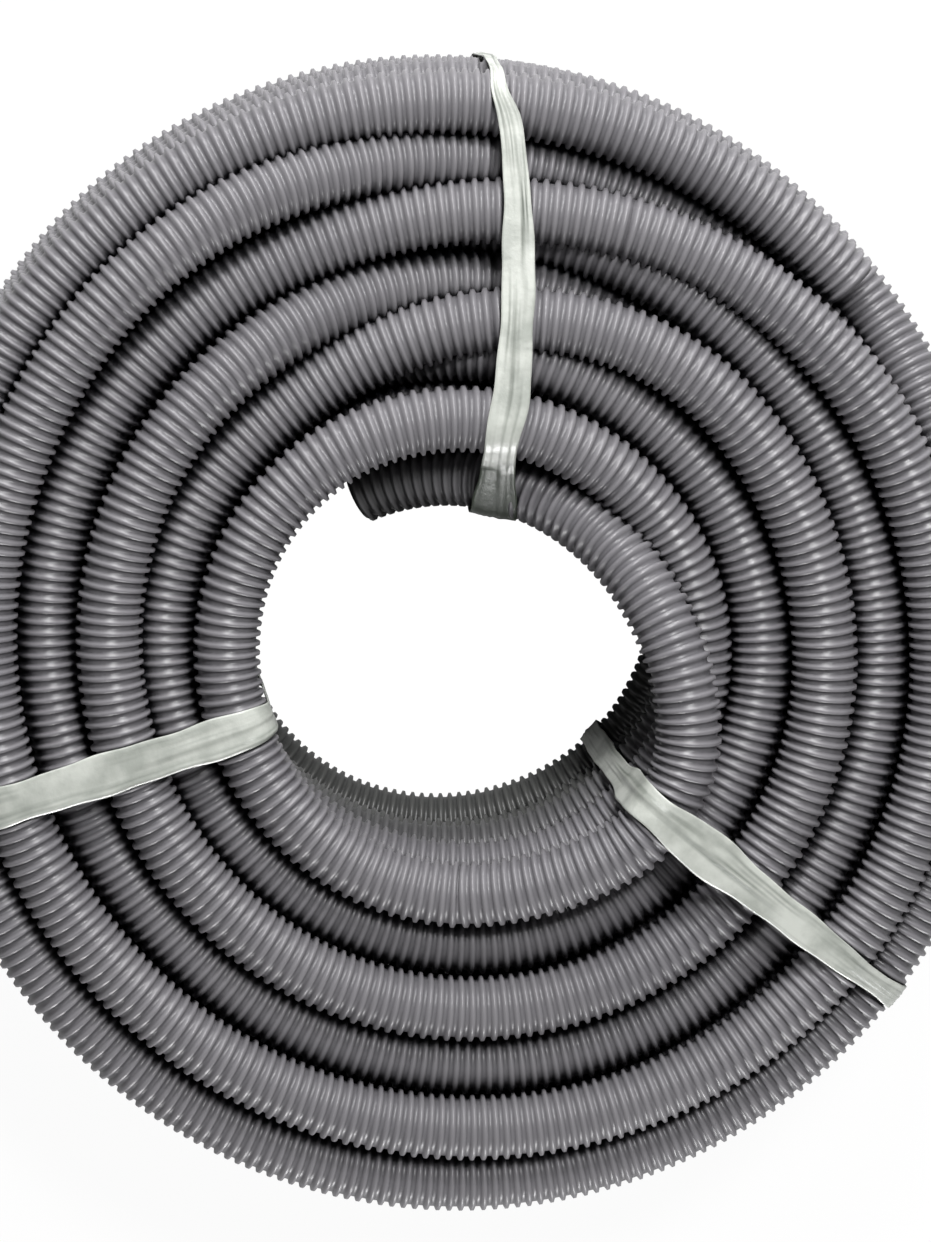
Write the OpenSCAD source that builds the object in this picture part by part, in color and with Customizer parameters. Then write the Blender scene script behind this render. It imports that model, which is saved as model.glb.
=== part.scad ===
/* [Conduit] */
// Outside diameter over the rings
conduit_d = 25; // [20:0.5:32]
// Bore of the conduit
conduit_bore_d = 19; // [14:0.5:21]
// Spacing of the rings
ring_pitch = 4.4; // [4:0.1:5]
// Depth of the grooves between the rings
groove_depth = 1.5; // [1:0.1:2]
// Width of a ring's crest
crest_w = 2.2; // [1.6:0.1:2.6]
/* [Coil] */
// Radius of the open eye in the middle
eye_r = 78.5; // [78:0.5:84]
// Layers of turns from the eye to the rim
layers = 6; // [4:2:8]
// Turns side by side in the first layer; the next has one fewer
turns = 5; // [4:1:7]
// Rise from one layer to the next, with each turn nested over the groove below
layer_rise = 22.6; // [21.6:0.1:23.6]
// Spacing of the turns in a layer, pressed together ring in groove
turn_pitch = 24.6; // [23:0.1:24.8]
/* [Inner end] */
// Angle of the cut inner end, clockwise from the coil's top
inner_end_angle = -35; // [-50:1:-20]
// Distance of the inner end's centre line from the coil's axis
inner_end_r = 67.2; // [66:0.1:69]
// How far the inner end lies behind the front turns
inner_end_depth = 47.8; // [44:0.1:50]
/* [Outer end] */
// Angle of the cut outer end, clockwise from the coil's top
outer_end_angle = 48.5; // [20:0.5:80]
// Gap from the outer end to where the turn behind comes forward
outer_gap_angle = 17; // [8:0.5:30]
/* [Straps] */
// Width of the strapping film
strap_w = 16; // [10:1:24]
// Thickness of the folded film
strap_t = 0.8; // [0.6:0.1:2]
// Room between the film and the turns
strap_gap = 0.4; // [0.3:0.1:1.5]

/* [Hidden] */
conduit_r = conduit_d / 2;
bore_r = conduit_bore_d / 2;
groove_r = conduit_r - groove_depth;
front_z = strap_t + strap_gap + conduit_r + (turns - 1) * turn_pitch;
bore_rings = 8;

// A run of rings is a chain of bends. Each bend has its radius, its number of
// rings, and how far its plane rolls about the conduit from the last one.
inner_heading = [8.8, -14.6];
inner_bends = [[90, 14, -29], [99, 14, 10], [91, 14, 16], [54, 14, -34], [150, 22, 36]];

function ring_turn(bend_r) = 2 * asin(ring_pitch / 2 / bend_r);
function layer_r(layer) = eye_r + conduit_r + layer * layer_rise;
function turns_in(layer) = turns - layer % 2;
function turn_depth(layer, turn) = (turn + (layer % 2) / 2) * turn_pitch;
function last_turn(layer) = turns_in(layer) - 1;

rim_r = layer_r(layers - 1);

// Section of the wound turns: distance from the axis, and height.
module turn_circle(layer, turn, extra = 0) translate([layer_r(layer), front_z - turn_depth(layer, turn)])
    circle(r = conduit_r + extra, $fn = 96);

module section_turns() for (layer = [0:layers - 1], turn = [0:last_turn(layer)]) turn_circle(layer, turn);

// Solid heart of the section, from turn centre to turn centre.
module section_heart() {
    front = [for (layer = [0:layers - 1]) [layer_r(layer), front_z - turn_depth(layer, 0)]];
    rear = [for (layer = [layers - 1:-1:0]) [layer_r(layer), front_z - turn_depth(layer, last_turn(layer))]];
    polygon(concat(front, rear));
}

module wound_turns() rotate_extrude($fn = 180) {
    section_heart();
    section_turns();
}

// The gap past the outer end, down to the three turns that the missing one lay in.
module outer_gap() rotate(90 - outer_end_angle - outer_gap_angle)
    rotate_extrude(angle = outer_gap_angle, $fn = 180) difference() {
        turn_circle(layers - 1, 0, 2);
        turn_circle(layers - 1, 1, 0.2);
        turn_circle(layers - 2, 0, 0.2);
        turn_circle(layers - 2, 1, 0.2);
    }

// A place on the coil, with +X along the conduit and -Z towards the axis.
module at_turn(angle, radius, depth) rotate(-angle) translate([0, radius, front_z - depth])
    rotate([-90, 0, 0]) children();

// One ring lying along X: its crest, and the groove up to the next.
module ring(bend_r) {
    rotate([0, 90, 0]) cylinder(r = conduit_r, h = crest_w, center = true, $fn = 48);
    rotate([0, 90 + ring_turn(bend_r) / 2, 0]) cylinder(r = groove_r, h = ring_pitch, $fn = 48);
}

// Moves on by one ring round a bend that starts towards +X and curves down to -Z.
module next_ring(bend_r) rotate([0, ring_turn(bend_r) / 2, 0]) translate([ring_pitch, 0, 0])
    rotate([0, ring_turn(bend_r) / 2, 0]) children();

module ring_run(bends, bend = 0, count = 0)
    if (count < bends[bend][1]) {
        ring(bends[bend][0]);
        next_ring(bends[bend][0]) ring_run(bends, bend, count + 1);
    } else if (bend + 1 < len(bends))
        rotate([bends[bend + 1][2], 0, 0]) ring_run(bends, bend + 1);

// The bore that opens at a cut end, round the run's first bend.
module end_bore(bend_r) {
    lead = crest_w / bend_r * 180 / PI;
    translate([0, 0, -bend_r]) rotate([-90, -90 - lead, 0])
        rotate_extrude(angle = bore_rings * ring_turn(bend_r) + lead, $fn = 96)
            translate([bend_r, 0]) circle(r = bore_r, $fn = 64);
}

module inner_end() at_turn(inner_end_angle, inner_end_r, inner_end_depth)
    rotate([0, 0, inner_heading[1]]) rotate([inner_bends[0][2], inner_heading[0], 0]) difference() {
        ring_run(inner_bends);
        end_bore(inner_bends[0][0]);
    }

module outer_end_bore() at_turn(outer_end_angle, rim_r, turn_depth(layers - 1, 0))
    rotate([0, 0, 180]) end_bore(rim_r);

module conduit() color("#807c82") {
    difference() {
        wound_turns();
        outer_gap();
        outer_end_bore();
    }
    inner_end();
}

// Outline that a strap is drawn tight round: the corner turns as they lie
// across its width, and whatever else it passes over.
module strap_core(shift, over) hull() {
    for (side = [-1:1], layer = [0:layers - 1], turn = [0, last_turn(layer)]) {
        lateral = shift + side * strap_w / 2;
        translate([sqrt(pow(layer_r(layer), 2) - pow(lateral, 2)), front_z - turn_depth(layer, turn)])
            circle(r = conduit_r, $fn = 48);
    }
    for (place = over) translate([place[0], front_z - place[1]]) circle(r = place[2], $fn = 48);
}

// One closed band of film round the section, at an angle clockwise from the
// top and shifted sideways.
module strap(angle, shift, over) color("#cdd4cb") rotate(90 - angle) translate([0, -shift, 0])
    rotate([90, 0, 0]) linear_extrude(strap_w, center = true) difference() {
        offset(r = strap_gap + strap_t, $fn = 32) strap_core(shift, over);
        offset(r = strap_gap, $fn = 32) strap_core(shift, over);
    }

module strap_top() strap(0, 16, [[62, 26, conduit_r + 2.5]]);
module strap_left() strap(253, 0, []);
module strap_right() strap(129.5, 0, [[93, -15.2, conduit_r]]);

conduit();
strap_top();
strap_left();
strap_right();
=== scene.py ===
"""The looks of a coil of corrugated conduit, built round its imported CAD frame.

Lengths are in millimetres until a mesh is made. An angle on the coil is in
degrees clockwise from +Y, seen from the front face, which is up (+Z). A depth
is how far a turn lies behind the front turns, counted in turns until a point
is placed, and then in millimetres.
"""
import math

import bpy
import numpy as np
from mathutils import Matrix, Vector


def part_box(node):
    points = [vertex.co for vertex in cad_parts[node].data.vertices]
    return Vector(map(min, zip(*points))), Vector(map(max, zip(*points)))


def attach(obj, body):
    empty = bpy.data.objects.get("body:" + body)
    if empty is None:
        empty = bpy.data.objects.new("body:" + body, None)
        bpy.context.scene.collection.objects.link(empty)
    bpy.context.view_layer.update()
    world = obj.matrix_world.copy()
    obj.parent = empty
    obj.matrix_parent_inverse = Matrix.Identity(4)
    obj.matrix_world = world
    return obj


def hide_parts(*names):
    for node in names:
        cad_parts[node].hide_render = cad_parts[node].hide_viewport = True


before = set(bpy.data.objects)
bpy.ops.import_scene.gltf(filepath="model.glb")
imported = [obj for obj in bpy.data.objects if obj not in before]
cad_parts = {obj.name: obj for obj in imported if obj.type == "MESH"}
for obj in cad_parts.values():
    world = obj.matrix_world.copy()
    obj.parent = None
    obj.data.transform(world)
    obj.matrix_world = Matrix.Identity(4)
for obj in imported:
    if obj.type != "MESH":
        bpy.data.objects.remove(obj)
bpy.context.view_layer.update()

MM = 0.001

# The conduit. One ring is given by places along its pitch, as shares of it, and
# the radius at each. So many rings at each end of the conduit have an open bore.
CONDUIT_R = 12.5
GROOVE_R = 10.9
WALL = 1.302
BORE_RINGS = 14
SIDES = 24
RING_PITCH = 4.2
RING_PROFILE = ((0.0, GROOVE_R), (0.40, GROOVE_R), (0.57, CONDUIT_R), (0.84, CONDUIT_R))
GROOVE_MIDDLE = 0.2

# Rings are made down to this depth behind each face, in turns, and for this much of
# the first and the last layer. The turns between are plain tubes, which reach a
# little into the ringed ones.
BURIED_R = CONDUIT_R - 0.6
BURIED_SIDES = 12
BURIED_STEP = 9.0
BURIED_REACH = 8
SHOWN_DEPTH = 1.3
SHOWN_LAYER = 0.9

# The winding: layers outwards, and turns from the front to the rear.
LAYERS = 6
TURNS = 5
TURN_PITCH = 24.6
FIRST_R = 90.0
LAYER_RISE = 23.0
FRONT_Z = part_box("conduit")[0].z / MM + CONDUIT_R + (TURNS - 1) * TURN_PITCH
ANGLE_STEP = 0.5

# How far some layers are out of round: the shares of the cosine and sine of the
# angle, and of twice the angle. The other layers are between their neighbours,
# and behind the front turn the eye has a shape of its own.
OUT_OF_ROUND = {
    0: (-1.9, -0.7, 0.3, -1.4),
    2: (0.3, 1.0, 1.3, -2.5),
    4: (-0.4, 0.4, 1.7, -3.3),
    5: (-0.8, -0.8, 3.1, -2.4),
}
REAR_OF_EYE = (1.7, -0.8, -2.7, 1.0)
LAST_LAYER_IN = 2.0

# Bulges, each with its height, middle angle and half width: of layer 4, and of the
# rim behind its front turn.
LAYER_4_BULGE = (2.8, -28, 42)
REAR_RIM_BULGE = (3.2, 10, 100)

# In the eye, by depth in turns: how far out a turn is put, and how far forward.
EYE_OUT = ((1.6, 0), (2.6, 3.4), (3.0, 3.4), (3.5, -1.6), (4, -0.8))
EYE_FORWARD = ((0, 0), (3, 3.2), (4, 0))

# Where a layer's turns cross to the place beside them, and where its last turn
# climbs to the next layer: the middle angle and the width of each.
CROSSINGS = ((110, 260), (-10, 60), (-20, 70), (8, 60), (-12, 60), (62, 32))
CLIMBS = ((20, 60), (4, 90), (20, 80), (20, 92), (30, 60))
OUTER_END_ANGLE = 47.5

# The free inner end: a chain of bends of one length, each with its radius and
# how far its plane rolls from the last one. The turns start at its radius and
# depth, and come to their own over about these angles.
INNER_END = {"angle": -35, "radius": 67.2, "depth": 47.8}
INNER_HEADING = (8.8, -14.6)
INNER_BENDS = ((90, -29), (99, 10), (91, 16), (54, -34), (124, 14))
BEND_LENGTH = 61.6
BEND_STEPS = 56
RADIUS_BLEND = 60
DEPTH_BLEND = 25

# The straps: the angle of each one's plane, and its film's width and shift to the
# side by the distance out from the axis. These hold on the front face, and the
# ones named back hold elsewhere, where None is the same width. A lean puts one edge
# in and the other out over the free end, by this share of half the width.
STRAPS = {
    "strap_top": {
        "angle": 0, "lean": 0.2, "seed": 3, "back_width": None, "back_shift": 11.8,
        "width": ((50, 17), (62, 15), (75, 12.5), (94, 13.5), (131, 12.8), (169, 10.5),
                  (188, 9.5), (202, 8), (217, 4.5)),
        "shift": ((62, 11), (82, 12), (97, 15.7), (134, 18.6), (170, 18.6), (196, 16.6), (218, 11.8)),
    },
    "strap_left": {
        "angle": 253, "lean": 0, "seed": 5, "back_width": None, "back_shift": 0,
        "width": ((78, 12), (95, 15.5)),
        "shift": ((0, 0),),
    },
    "strap_right": {
        "angle": 129.5, "lean": 0, "seed": 8, "back_width": 10, "back_shift": 0,
        "width": ((92, 14), (113, 18), (131, 16), (150, 13.5), (195, 10), (214, 7)),
        "shift": ((0, 0),),
    },
}

# The film lies tight on the turns that a band this wide meets, with the shift that
# the strap has at the eye's edge. Nearer the axis it leans, and there it gets
# painted shade, for the dark gap seen through it.
EYE_EDGE = 80
TIGHT_WIDTH = 10
LEAN_INSIDE = 70
SHADE_THROUGH_FILM_BY_OUT = ((69, 1), (75, 0))
FILM_STEP = 1.6
FILM_POINTS_ACROSS = 17
FILM_LIFTS = (0.75, 0.35)
FOLDS = 7
STEEPEST_FOLD = 3.5
FLOOR_GAP = 0.1

# Down in the eye the turns get painted shade, by height and by distance from the axis.
SHADED_BY_HEIGHT = ((60, 1), (100, 0))
SHADED_BY_OUT = ((88, 1), (98, 0))

# The lamps: name, place, target, size and power.
LAMPS = (
    ("key", (0.05, 1.6, 1.25), (0, 0, 0.06), (0.45, 0.35), 28),
    ("front", (0.38, 1.0, 1.9), (0, 0, 0.06), (0.4, 0.4), 31),
    ("fill", (0.2, -2.0, 0.35), (0, 0, 0.1), (1.4, 0.3), 42),
    ("rim", (0.1, 2.0, 0.3), (0, 0.1, 0.1), (1.4, 0.2), 26),
)

# The camera, seen from the middle of the front face: its direction and distance,
# and the point that it aims at.
CAMERA_DIRECTION = (-0.08368, 0.16447, 0.98283)
CAMERA_DISTANCE = 1.6
CAMERA_AIM = (-0.00024, 0.01211, -0.00205)
CAMERA_LENS = 123.55


# ---------------------------------------------------------------- small tools

def between(at, pairs):
    """The value at a place, on straight lines between pairs of a place and a value."""
    places, values = zip(*pairs)
    return np.interp(at, places, values)


def smooth(x):
    x = np.clip(x, 0, 1)
    return x * x * (3 - 2 * x)


def bulge(angle, height, middle, half_width):
    """A smooth rise to a height at the middle angle, and 0 past the half width."""
    off = (angle - middle + 180) % 360 - 180
    return height * np.cos(np.clip(off / half_width, -1, 1) * math.pi / 2) ** 2


def unit(v):
    return v / np.linalg.norm(v, axis=-1, keepdims=True)


def spin(axis, degrees):
    return Matrix.Rotation(math.radians(degrees), 4, axis)


def add_mesh(name, verts, faces, smooth_shaded=True):
    mesh = bpy.data.meshes.new(name)
    mesh.from_pydata((np.asarray(verts) * MM).tolist(), [], faces)
    mesh.polygons.foreach_set("use_smooth", [smooth_shaded] * len(mesh.polygons))
    mesh.update()
    obj = bpy.data.objects.new(name, mesh)
    bpy.context.scene.collection.objects.link(obj)
    return obj


def add_shade(piece, name, values):
    """A number from 0 to 1 at each point, which a material can read."""
    shade = piece.data.attributes.new(name, "FLOAT", "POINT")
    shade.data.foreach_set("value", np.clip(np.ravel(values), 0, 1))


# ---------------------------------------------------------------- the winding

def turn_places():
    """Layer and depth, in turns, of each turn in the order of winding."""
    places = []
    for layer in range(LAYERS):
        if layer % 2 == 0:
            places += [(layer, turn) for turn in range(TURNS)]
        else:
            places += [(layer, TURNS - 1.5 - turn) for turn in range(TURNS - 1)]
    return places


def layer_and_depth(theta):
    """Layer and depth, in turns, at winding angles that go on past 360."""
    places = turn_places()
    layer = np.zeros_like(theta)
    depth = np.zeros_like(theta)
    for k in range(1, len(places)):
        (layer_0, depth_0), (layer_1, depth_1) = places[k - 1], places[k]
        middle, width = CROSSINGS[layer_0] if layer_0 == layer_1 else CLIMBS[layer_0]
        step = smooth((theta - 360 * k - middle) / width + 0.5)
        layer += (layer_1 - layer_0) * step
        depth += (depth_1 - depth_0) * step
    return layer, depth


def out_of_round(theta, layer, depth):
    """How far the coil's waves put the centre line out."""
    columns = zip(*OUT_OF_ROUND.values())
    shares = [np.interp(layer, list(OUT_OF_ROUND), column) for column in columns]
    behind = np.clip(depth / 1.5, 0, 1) * np.clip(1 - layer / 2, 0, 1)
    shares = [share + (rear - share) * behind for share, rear in zip(shares, REAR_OF_EYE)]
    a = np.radians(theta)
    waves = (np.cos(a), np.sin(a), np.cos(2 * a), np.sin(2 * a))
    return sum(share * wave for share, wave in zip(shares, waves))


def turn_radius(theta, layer, depth):
    """Distance of the centre line from the axis."""
    in_eye = np.clip(1 - layer, 0, 1)
    in_layer_4 = np.clip(1 - np.abs(layer - 4), 0, 1)
    on_rim = np.clip(layer - 4, 0, 1)
    radius = FIRST_R + LAYER_RISE * layer - LAST_LAYER_IN * on_rim
    radius += out_of_round(theta, layer, depth)
    radius += bulge(theta, *LAYER_4_BULGE) * in_layer_4
    radius += bulge(theta, *REAR_RIM_BULGE) * on_rim * np.clip(depth - 0.5, 0, 1)
    radius += between(depth, EYE_OUT) * in_eye
    # A coil wound by hand wanders a little.
    a = np.radians(theta)
    radius += 0.3 * np.sin(a * 2.31) + 0.25 * np.sin(a * 3.77 + 0.7)
    return radius


def at_angle(theta, radius, depth):
    a = np.radians(theta)
    return np.stack([radius * np.sin(a), radius * np.cos(a), FRONT_Z - depth], -1)


def inner_end_points():
    """Centre line of the free inner end."""
    start = at_angle(INNER_END["angle"], INNER_END["radius"], INNER_END["depth"])
    place = Matrix.Translation(Vector(start)) @ spin("Z", -INNER_END["angle"]) @ spin("X", -90)
    place = place @ spin("Z", INNER_HEADING[1]) @ spin("Y", INNER_HEADING[0])
    step = BEND_LENGTH / BEND_STEPS
    ahead = Matrix.Translation((step, 0, 0))
    points = []
    for radius, roll in INNER_BENDS:
        place = place @ spin("X", roll)
        half_turn = spin("Y", math.degrees(math.asin(step / 2 / radius)))
        for _ in range(BEND_STEPS):
            points.append(list(place.translation))
            place = place @ half_turn @ ahead @ half_turn
    points.append(list(place.translation))
    return np.array(points)


def centre_line():
    """The whole conduit's centre line, with its layer and depth at each point."""
    inner = inner_end_points()
    x, y, z = inner[-1]
    joined = math.degrees(math.atan2(x, y)) % 360
    last = 360 * len(turn_places()) + OUTER_END_ANGLE
    theta = np.arange(joined + ANGLE_STEP, last, ANGLE_STEP)
    past = theta - joined
    layer, depth = layer_and_depth(theta)
    start_r = turn_radius(np.array([joined]), np.array([0.0]), np.array([0.0]))[0]
    radius = turn_radius(theta, layer, depth)
    radius += (math.hypot(x, y) - start_r) * np.exp(-((past / RADIUS_BLEND) ** 2))
    behind = depth * TURN_PITCH + (FRONT_Z - z) * np.exp(-past / DEPTH_BLEND)
    behind -= between(depth, EYE_FORWARD) * np.clip(1 - layer, 0, 1)
    behind += 0.35 * np.sin(np.radians(theta * 1.63 + 10)) * np.clip(past / 90, 0, 1)
    points = np.concatenate([inner, at_angle(theta, radius, behind)])
    free = np.zeros(len(inner))
    return points, np.concatenate([free, layer]), np.concatenate([free, depth])


# ------------------------------------------------------------------- the tube

class Line:
    """A centre line that can be asked for its place and cross axes at any length along it."""

    def __init__(self, points):
        self.points = points
        gaps = np.linalg.norm(np.diff(points, axis=0), axis=1)
        self.length = np.concatenate([[0], np.cumsum(gaps)])
        self.along = unit(np.gradient(points, self.length, axis=0))

    def pick(self, table, at):
        return np.stack([np.interp(at, self.length, table[:, i]) for i in range(3)], -1)

    def circles(self, at, radius, sides):
        """Rings of points round the line, each at a length along it and with its own radius."""
        centre = self.pick(self.points, at)
        along = unit(self.pick(self.along, at))
        up = np.array([0.0, 0.0, 1.0])
        side = unit(np.cross(along, up))
        rise = np.cross(side, along)
        turn = np.arange(sides) * 2 * math.pi / sides
        spokes = side[:, None] * np.cos(turn)[:, None] + rise[:, None] * np.sin(turn)[:, None]
        return centre[:, None] + spokes * radius[:, None, None]


def tube_faces(rings, sides, first):
    """Quads of an open tube, then its two end caps."""
    i, j = np.meshgrid(np.arange(rings - 1), np.arange(sides), indexing="ij")
    a = first + i * sides + j
    b = first + i * sides + (j + 1) % sides
    quads = np.stack([a, a + sides, b + sides, b], -1).reshape(-1, 4).tolist()
    start = [first + k for k in range(sides)]
    end = [first + (rings - 1) * sides + k for k in reversed(range(sides))]
    return quads + [start, end]


def ringed(first, last):
    """Lengths along the line and radii of the rings from one number up to another.

    Both ends are in the flat of a groove, where two stretches meet unseen.
    """
    places, radii = zip(*RING_PROFILE)
    base = np.arange(first, last)[:, None] * RING_PITCH
    at = (base + np.array(places) * RING_PITCH).ravel()
    at[0] += GROOVE_MIDDLE * RING_PITCH
    end = np.array([last, last + GROOVE_MIDDLE]) * RING_PITCH
    radius = np.tile(radii, last - first)
    return np.append(at, end), np.append(radius, [GROOVE_R, GROOVE_R])


def bored(at, radius, from_end):
    """Adds an open bore to a stretch, at its first or its last ring."""
    reach = BORE_RINGS * len(RING_PROFILE)
    if from_end:
        at, radius = at[::-1], radius[::-1]
    inside = radius[:reach] - WALL
    at = np.concatenate([at[:reach][::-1], at[:1], at])
    radius = np.concatenate([inside[::-1], inside[:1], radius])
    return (at[::-1], radius[::-1]) if from_end else (at, radius)


def stretches(mask):
    """First index of each unbroken run of True, and the index just past it."""
    edges = np.flatnonzero(np.diff(np.concatenate([[0], mask.astype(int), [0]])))
    return list(zip(edges[::2], edges[1::2]))


def build_piece(name, line, runs, sides=SIDES):
    """One mesh of several stretches of tube, which knows how far up a ring each point is.

    Their end caps are flat, so that two stretches that meet show no seam.
    """
    verts, faces, first = [], [], 0
    for at, radius in runs:
        rings = line.circles(at, radius, sides)
        faces += tube_faces(len(rings), sides, first)
        verts.append(rings.reshape(-1, 3))
        first += rings.shape[0] * sides
    verts = np.concatenate(verts)
    piece = add_mesh(name, verts, faces)
    piece.data.polygons.foreach_set("use_smooth", [len(face) == 4 for face in faces])
    height = np.concatenate([radius for _, radius in runs]) - GROOVE_R
    # The height up each ring, which the material turns into painted shade in the grooves.
    add_shade(piece, "relief", np.repeat(height / (CONDUIT_R - GROOVE_R), sides))
    x, y, z = verts.T
    # Painted shade deep in the eye: how low and how near the axis each point is.
    add_shade(piece, "painted_eye_shade", between(z, SHADED_BY_HEIGHT) * between(np.hypot(x, y), SHADED_BY_OUT))
    return piece


def shown_rings(layer, depth):
    """Rings in the eye, on the rim and on both faces, and a little past where they go under."""
    near_face = (depth < SHOWN_DEPTH) | (depth > TURNS - 1 - SHOWN_DEPTH)
    return (layer < SHOWN_LAYER) | (layer > LAYERS - 1 - SHOWN_LAYER) | near_face


def ringed_stretches(shown, home):
    """The first and last ring of each ringed stretch, by piece: one a layer, and two for the rim."""
    pieces = {"turns_%d" % (number + 1): stretches(shown & (home == number)) for number in range(LAYERS)}
    rim = "turns_%d" % LAYERS
    first, last = pieces.pop(rim)[0]
    half = (first + last) // 2
    pieces[rim + "a"] = [(first, half)]
    pieces[rim + "b"] = [(half, last)]
    return pieces


def build_turns(line, layer, depth):
    """The ringed turns with an open bore at both ends of the line, and the buried turns."""
    middle = (np.arange(int(line.length[-1] / RING_PITCH)) + 0.5) * RING_PITCH
    layer, depth = (np.interp(middle, line.length, values) for values in (layer, depth))
    shown = shown_rings(layer, depth)
    places = ringed_stretches(shown, np.round(layer).astype(int))
    runs = {name: [ringed(first, last) for first, last in rings] for name, rings in places.items()}
    innermost, *_, outermost = runs.values()
    innermost[0] = bored(*innermost[0], from_end=False)
    outermost[-1] = bored(*outermost[-1], from_end=True)
    pieces = [build_piece(name, line, tubes) for name, tubes in runs.items()]
    plain = []
    for first, last in stretches(~shown):
        at = np.arange(first * RING_PITCH - BURIED_REACH, last * RING_PITCH + BURIED_REACH, BURIED_STEP)
        plain.append((at, np.full(len(at), BURIED_R)))
    pieces.append(build_piece("buried_turns", line, plain, sides=BURIED_SIDES))
    return pieces


# ----------------------------------------------------------------- the straps

def shift_at(strap, out, front):
    return between(out, strap["shift"]) if front else strap["back_shift"]


def width_at(strap, out, front):
    if front or strap["back_width"] is None:
        return between(out, strap["width"])
    return strap["back_width"]


def strap_outline(points, strap):
    """The tight outline round the turns that a strap crosses: distance out, and height."""
    a = math.radians(strap["angle"])
    out = points[:, :2] @ np.array([math.sin(a), math.cos(a)])
    across = points[:, :2] @ np.array([math.cos(a), -math.sin(a)])
    aside = np.abs(across - shift_at(strap, EYE_EDGE, True))
    near = (aside < TIGHT_WIDTH / 2) & (out > 0)
    centres = np.stack([out[near], points[near, 2]], -1)
    t = np.radians(np.arange(0, 360, 0.5))
    facing = np.stack([np.cos(t), np.sin(t)], -1)
    return centres[np.argmax(centres @ facing.T, axis=0)] + CONDUIT_R * facing


def resample_loop(loop, step):
    """A closed loop in even steps, with the length along it at each point and in all."""
    closed = np.concatenate([loop, loop[:1]])
    length = np.concatenate([[0], np.cumsum(np.linalg.norm(np.diff(closed, axis=0), axis=1))])
    count = int(length[-1] / step)
    at = np.arange(count) * length[-1] / count
    return np.stack([np.interp(at, length, closed[:, i]) for i in range(2)], -1), at, length[-1]


def film_folds(rng, round_angle, v):
    """Height of the folds that run along the film, at each angle round the loop and place across."""
    height = np.zeros((len(round_angle), len(v)))
    for _ in range(FOLDS):
        drift = rng.uniform(-0.85, 0.85)
        for waves in rng.integers(1, 5, 2):
            phase = rng.uniform(0, 6.28)
            drift = drift + 0.13 * np.sin(round_angle * waves + phase)
        strength = 0.5 + 0.5 * np.sin(round_angle * rng.integers(2, 7) + rng.uniform(0, 6.28))
        fold_width = rng.uniform(0.07, 0.2)
        height += rng.uniform(0.25, 0.6) * strength[:, None] * np.exp(
            -((v[None] - np.atleast_1d(drift)[:, None]) / fold_width) ** 2)
    return height


def film_places(loop, round_angle, strap):
    """Half the film's width, and how far its middle is to the side, at each point of the loop."""
    places = [(out, height > FRONT_Z) for out, height in loop]
    half = np.array([width_at(strap, out, front) / 2 for out, front in places])
    half *= 1 + 0.06 * np.sin(round_angle * 9 + strap["seed"]) + 0.04 * np.sin(round_angle * 23)
    middle = np.array([shift_at(strap, out, front) for out, front in places])
    for values in (half, middle):
        for _ in range(6):
            values[:] = (np.roll(values, 1) + values + np.roll(values, -1)) / 3
    return half, middle


def band_faces(count, around):
    """Quads of a closed band of so many sections, each a loop of so many points."""
    i, j = np.meshgrid(np.arange(count), np.arange(around), indexing="ij")
    next_i, next_j = (i + 1) % count, (j + 1) % around
    corners = [i * around + j, i * around + next_j, next_i * around + next_j, next_i * around + j]
    return np.stack(corners, -1).reshape(-1, 4).tolist()


def build_strap(name, points, strap):
    """A closed band of creased film, drawn tight round the section."""
    loop, at, total = resample_loop(strap_outline(points, strap), FILM_STEP)
    round_angle = at / total * 2 * math.pi
    ahead = unit(np.roll(loop, -1, axis=0) - np.roll(loop, 1, axis=0))
    normal = np.stack([ahead[:, 1], -ahead[:, 0]], -1)
    v = np.linspace(-1, 1, FILM_POINTS_ACROSS)
    folds = film_folds(np.random.default_rng(strap["seed"]), round_angle, v)
    half, middle = film_places(loop, round_angle, strap)
    across = middle[:, None] + half[:, None] * v[None]
    a = math.radians(strap["angle"])
    out_axis = np.array([math.sin(a), math.cos(a), 0])
    side_axis = np.array([math.cos(a), -math.sin(a), 0])
    skins = []
    for lift in FILM_LIFTS:
        flat = loop[:, None] + normal[:, None] * (lift + folds[..., None])
        drop = strap["lean"] * half[:, None] * v[None] * (flat[..., 0] < LEAN_INSIDE)
        skin = (flat[..., 0] - drop)[..., None] * out_axis + across[..., None] * side_axis
        skin[..., 2] = np.maximum(skin[..., 2] + flat[..., 1], FLOOR_GAP)
        skins.append(skin)
    band = np.concatenate([skins[0], skins[1][:, ::-1]], axis=1)
    film = add_mesh(name, band.reshape(-1, 3), band_faces(*band.shape[:2]))
    # How steep the folds are, for painted shade on their flanks.
    steep = np.abs(np.gradient(folds, v, axis=1)) / STEEPEST_FOLD
    # Painted shade where the film spans the dark gap near the axis.
    shade_through_film = between(loop[:, 0], SHADE_THROUGH_FILM_BY_OUT)[:, None] * np.ones(len(v))
    for label, values in (("fold_flank", steep), ("shade_through_film", shade_through_film)):
        add_shade(film, label, np.concatenate([values, values[:, ::-1]], axis=1))
    return film


# -------------------------------------------------------------- the materials

def new_material(name):
    material = bpy.data.materials.new(name)
    material.use_nodes = True
    nodes = material.node_tree.nodes
    return material, nodes, material.node_tree.links, nodes["Principled BSDF"]


def ramp(nodes, links, source, *stops):
    """The colour between two stops, by the number from a socket."""
    node = nodes.new("ShaderNodeValToRGB")
    for element, (place, colour) in zip(node.color_ramp.elements, stops):
        element.position = place
        element.color = (*colour, 1)
    links.new(source, node.inputs["Fac"])
    return node.outputs["Color"]


def shade_of(nodes, name):
    """A number that the mesh has at each point."""
    node = nodes.new("ShaderNodeAttribute")
    node.attribute_name = name
    return node.outputs["Fac"]


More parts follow.
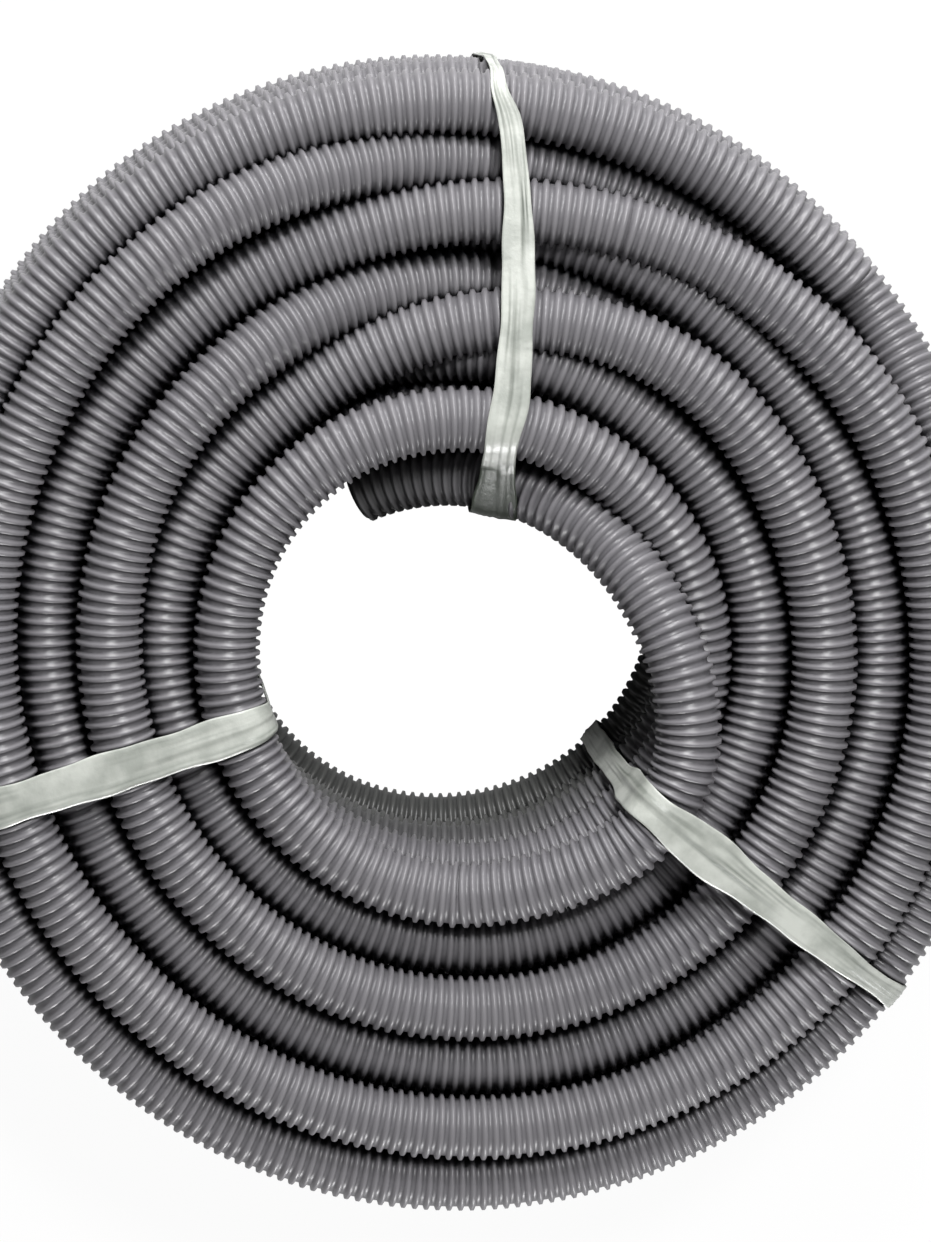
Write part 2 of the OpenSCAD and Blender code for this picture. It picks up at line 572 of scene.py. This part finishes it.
def noise(nodes, links, scale, detail=4):
    where = nodes.new("ShaderNodeTexCoord")
    node = nodes.new("ShaderNodeTexNoise")
    node.inputs["Scale"].default_value = scale
    node.inputs["Detail"].default_value = detail
    node.inputs["Roughness"].default_value = 0.55
    links.new(where.outputs["Object"], node.inputs["Vector"])
    return node.outputs["Fac"]


def multiplied(nodes, links, product, *colours):
    """One colour times all the others."""
    for colour in colours:
        mix = nodes.new("ShaderNodeMix")
        mix.data_type = "RGBA"
        mix.blend_type = "MULTIPLY"
        mix.inputs["Factor"].default_value = 1.0
        one, other = [socket for socket in mix.inputs if socket.type == "RGBA"]
        links.new(product, one)
        links.new(colour, other)
        product = next(socket for socket in mix.outputs if socket.type == "RGBA")
    return product


def conduit_material():
    """Grey plastic with painted shade: paler on the crests of the rings than in their grooves, and
    darker in the gaps between the turns and deep in the eye.
    """
    material, nodes, links, shader = new_material("conduit_plastic")
    white = (1.0, 1.0, 1.0)
    # Painted shade: ambient occlusion darkens the gaps between the turns.
    hollow = nodes.new("ShaderNodeAmbientOcclusion")
    hollow.samples = 4
    hollow.inputs["Distance"].default_value = 0.014
    # Painted shade: the grooves of the rings are darker than their crests.
    rings = ramp(nodes, links, shade_of(nodes, "relief"),
                 (0.0, (0.135, 0.131, 0.14)), (0.9, (0.19, 0.184, 0.195)))
    cloud = ramp(nodes, links, noise(nodes, links, 14), (0.3, (0.84, 0.84, 0.85)), (0.7, white))
    painted_gap_shade = ramp(nodes, links, hollow.outputs["AO"], (0.24, (0.02, 0.02, 0.026)), (0.48, white))
    # Painted shade deep in the eye.
    eye_shade = ramp(nodes, links, shade_of(nodes, "painted_eye_shade"), (0.0, white), (1.0, (0.42, 0.44, 0.4)))
    links.new(multiplied(nodes, links, rings, cloud, painted_gap_shade, eye_shade), shader.inputs["Base Color"])
    rubbed = ramp(nodes, links, noise(nodes, links, 160), (0.3, (0.3,) * 3), (0.75, (0.42,) * 3))
    links.new(rubbed, shader.inputs["Roughness"])
    shader.inputs["Specular IOR Level"].default_value = 0.4
    return material


def film_material():
    """Milky film with painted shade: darker on the flanks of its folds, and near the axis, where it
    spans the dark gap below.
    """
    material, nodes, links, shader = new_material("strap_film")
    white = (1.0, 1.0, 1.0)
    cloud = ramp(nodes, links, noise(nodes, links, 60, detail=6),
                 (0.36, (0.36, 0.38, 0.345)), (0.6, (0.56, 0.58, 0.535)))
    # Painted shade on the steep flanks of the folds.
    painted_fold_shade = ramp(nodes, links, shade_of(nodes, "fold_flank"), (0.1, white), (0.9, (0.3, 0.32, 0.3)))
    # Painted shade where the dark gap below shows through the film.
    shade_through_film = ramp(nodes, links, shade_of(nodes, "shade_through_film"), (0.1, white), (0.9, (0.12, 0.145, 0.115)))
    links.new(multiplied(nodes, links, cloud, painted_fold_shade, shade_through_film), shader.inputs["Base Color"])
    shader.inputs["Roughness"].default_value = 0.38
    shader.inputs["Transmission Weight"].default_value = 0.12
    relief = nodes.new("ShaderNodeBump")
    relief.inputs["Strength"].default_value = 0.35
    relief.inputs["Distance"].default_value = 0.0005
    links.new(noise(nodes, links, 420, detail=5), relief.inputs["Height"])
    links.new(relief.outputs["Normal"], shader.inputs["Normal"])
    return material


def floor_material():
    """White to the camera, with a share of the light that really falls on it for the shadow. Near the
    axis the white share is larger: painted light that hides the shadow in the eye.
    """
    material, nodes, links, shader = new_material("floor")
    shader.inputs["Base Color"].default_value = (0.55, 0.55, 0.55, 1)
    shader.inputs["Roughness"].default_value = 0.9
    glow = nodes.new("ShaderNodeEmission")
    glow.inputs["Strength"].default_value = 1.05
    where = nodes.new("ShaderNodeTexCoord")
    reach = nodes.new("ShaderNodeVectorMath")
    reach.operation = "LENGTH"
    # Painted light: more white near the axis, so the shadow in the eye hardly shows.
    whiteness = nodes.new("ShaderNodeMapRange")
    for place, value in (("From Min", 0.15), ("From Max", 0.22), ("To Min", 0.97), ("To Max", 0.9)):
        whiteness.inputs[place].default_value = value
    rays = nodes.new("ShaderNodeLightPath")
    share = nodes.new("ShaderNodeMath")
    share.operation = "MULTIPLY"
    mix = nodes.new("ShaderNodeMixShader")
    links.new(where.outputs["Object"], reach.inputs[0])
    links.new(reach.outputs["Value"], whiteness.inputs["Value"])
    links.new(whiteness.outputs["Result"], share.inputs[0])
    links.new(rays.outputs["Is Camera Ray"], share.inputs[1])
    links.new(share.outputs[0], mix.inputs["Fac"])
    links.new(shader.outputs["BSDF"], mix.inputs[1])
    links.new(glow.outputs["Emission"], mix.inputs[2])
    links.new(mix.outputs["Shader"], nodes["Material Output"].inputs["Surface"])
    return material


# ------------------------------------------------------------------ the stage

def build_floor():
    size = 4000
    corners = [(-size, -size, 0), (size, -size, 0), (size, size, 0), (-size, size, 0)]
    floor = add_mesh("floor", corners, [[0, 1, 2, 3]], smooth_shaded=False)
    floor.data.materials.append(floor_material())


def build_world():
    """A weak even light, and plain white to the camera and in reflections."""
    world = bpy.data.worlds.new("world")
    bpy.context.scene.world = world
    world.use_nodes = True
    nodes, links = world.node_tree.nodes, world.node_tree.links
    soft = nodes["Background"]
    soft.inputs["Color"].default_value = (1, 1, 1, 1)
    soft.inputs["Strength"].default_value = 0.1
    white = nodes.new("ShaderNodeBackground")
    white.inputs["Strength"].default_value = 1.0
    rays = nodes.new("ShaderNodeLightPath")
    seen = nodes.new("ShaderNodeMath")
    seen.operation = "MAXIMUM"
    mix = nodes.new("ShaderNodeMixShader")
    links.new(rays.outputs["Is Camera Ray"], seen.inputs[0])
    links.new(rays.outputs["Is Glossy Ray"], seen.inputs[1])
    links.new(seen.outputs[0], mix.inputs["Fac"])
    links.new(soft.outputs["Background"], mix.inputs[1])
    links.new(white.outputs["Background"], mix.inputs[2])
    links.new(mix.outputs["Shader"], nodes["World Output"].inputs["Surface"])


def look_from(obj, place, target, up):
    """Turns a camera or lamp at a place towards a target, with a direction kept upright."""
    back = (Vector(place) - Vector(target)).normalized()
    right = Vector(up).cross(back).normalized()
    turn = Matrix((right, back.cross(right), back)).transposed()
    obj.matrix_world = Matrix.Translation(place) @ turn.to_4x4()


def add_lamp(name, place, target, size, power):
    lamp = bpy.data.lights.new(name, "AREA")
    lamp.shape = "RECTANGLE"
    lamp.size, lamp.size_y = size
    lamp.energy = power
    obj = bpy.data.objects.new(name, lamp)
    bpy.context.scene.collection.objects.link(obj)
    look_from(obj, place, target, (0, 1, 0.01))


def add_camera():
    """Nearly square on to the front face, from a little above the coil's top side."""
    middle = Vector((0, 0, FRONT_Z * MM))
    place = middle + CAMERA_DISTANCE * Vector(CAMERA_DIRECTION).normalized()
    camera = bpy.data.cameras.new("camera")
    camera.sensor_fit = "VERTICAL"
    camera.sensor_height = 36
    camera.lens = CAMERA_LENS
    camera.clip_start = 0.05
    obj = bpy.data.objects.new("camera", camera)
    bpy.context.scene.collection.objects.link(obj)
    look_from(obj, place, middle + Vector(CAMERA_AIM), (0, 1, 0))
    bpy.context.scene.camera = obj


# ----------------------------------------------------------------- the object

def build_object():
    points, layer, depth = centre_line()
    grey = conduit_material()
    for piece in build_turns(Line(points), layer, depth):
        piece.data.materials.append(grey)
        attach(piece, "root")
        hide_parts("conduit")
    film = film_material()
    for name, strap in STRAPS.items():
        piece = build_strap(name + "_film", points, strap)
        piece.data.materials.append(film)
        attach(piece, "root")
        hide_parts(name)


bpy.context.scene.view_settings.view_transform = "Standard"
build_object()
build_floor()
build_world()
for lamp_values in LAMPS:
    add_lamp(*lamp_values)
add_camera()
